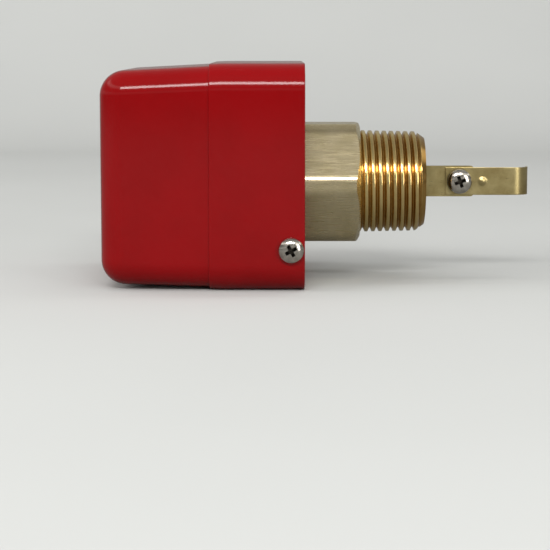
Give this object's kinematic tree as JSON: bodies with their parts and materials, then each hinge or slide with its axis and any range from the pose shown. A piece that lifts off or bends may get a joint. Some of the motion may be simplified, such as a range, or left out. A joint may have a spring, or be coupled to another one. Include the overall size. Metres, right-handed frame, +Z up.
{
  "type": "paddle flow switch",
  "caption": "Flow switch with a moulded cover, a brass pipe fitting and a swinging paddle on a sprung lever that works a snap switch.",
  "frame": {"origin": "on the fitting's axis, where the pipe thread meets the hexagon", "axes": "+X along the pipe thread, out of the housing; +Z up as the switch lies on its side; -Y is the side that the flow pushes the paddle to"},
  "size_m": [0.1373, 0.0902, 0.07],
  "materials": {
    "red_abs": "gloss",
    "label_film": "satin",
    "cast_zinc": "matte",
    "black_rubber": "matte",
    "red_fibre": "matte",
    "brass": "satin",
    "bronze": "satin",
    "spring_brass": "satin",
    "phenolic": "satin",
    "red_button": "satin",
    "pressboard": "matte",
    "nylon": "satin",
    "nickel_steel": "polished",
    "dark_spring_steel": "satin",
    "zinc_steel": "satin"
  },
  "bodies": {
    "root": {"cover": "red_abs", "cover_screws": "nickel_steel", "label_plate": "label_film", "base_plate": "cast_zinc", "cover_gasket": "black_rubber", "cable_grommet": "black_rubber", "fitting_body": "brass", "fitting_gasket": "red_fibre", "neck_washer": "zinc_steel", "neck_nut": "zinc_steel", "pivot_carrier": "brass", "pivot_pin": "nickel_steel", "bellows": "bronze", "mechanism_bracket": "zinc_steel", "bracket_screws": "zinc_steel", "bracket_nuts": "zinc_steel", "snap_switch": "phenolic", "actuator_pin": "zinc_steel", "switch_terminals": "brass", "terminal_screws": "zinc_steel", "insulating_sheet": "pressboard", "switch_screws": "zinc_steel", "switch_nuts": "zinc_steel", "range_spring": "dark_spring_steel", "earth_screw": "zinc_steel"},
    "paddle_arm": {"lever": "brass", "bellows_cap": "brass", "paddle_strip": "spring_brass", "paddle_lock_washer": "dark_spring_steel", "paddle_screw": "nickel_steel", "paddle_nut": "nickel_steel", "switch_arm": "zinc_steel", "arm_nut": "zinc_steel", "spring_rivet": "brass"},
    "actuator": {"actuator_lever": "zinc_steel", "roller_axle": "zinc_steel"},
    "roller": {"actuator_roller": "nylon"},
    "plunger": {"switch_plunger": "red_button"},
    "range_adjuster": {"range_screw": "zinc_steel", "range_clip": "zinc_steel"},
    "range_seat": {"spring_seat": "brass"}
  },
  "joints": [
    {"name": "paddle_swing", "type": "hinge", "parent": "root", "child": "paddle_arm", "pos_m": [-0.008, 0, 0], "axis": [0, 0, -1], "range_deg": [0, 4], "stiffness_Nm_per_rad": 0.8, "springref_deg": -5.73, "deforming": ["bellows", "range_spring"]},
    {"name": "actuator_swing", "type": "hinge", "parent": "root", "child": "actuator", "pos_m": [-0.073, -0.01178, 0], "axis": [0, 0, 1], "range_deg": [0, 11.4]},
    {"name": "roller_spin", "type": "hinge", "parent": "actuator", "child": "roller", "pos_m": [-0.056, -0.00748, 0], "axis": [0, 0, 1], "continuous": true},
    {"name": "plunger_travel", "type": "slide", "parent": "root", "child": "plunger", "axis": [0, 1, 0], "range_m": [0, 0.00135]},
    {"name": "range_adjust", "type": "hinge", "parent": "root", "child": "range_adjuster", "pos_m": [-0.055, 0, 0], "axis": [0, 1, 0], "range_deg": [-1080, 1080]},
    {"name": "range_seat_travel", "type": "slide", "parent": "root", "child": "range_seat", "axis": [0, 1, 0], "range_m": [-0.0024, 0.0024]}
  ],
  "couplings": [
    {"joint": "actuator_swing", "follows": "paddle_swing", "ratio": 2.85},
    {"joint": "plunger_travel", "follows": "paddle_swing", "m_per_rad": 0.0193},
    {"joint": "range_seat_travel", "follows": "range_adjust", "m_per_rad": 0.00012732}
  ]
}
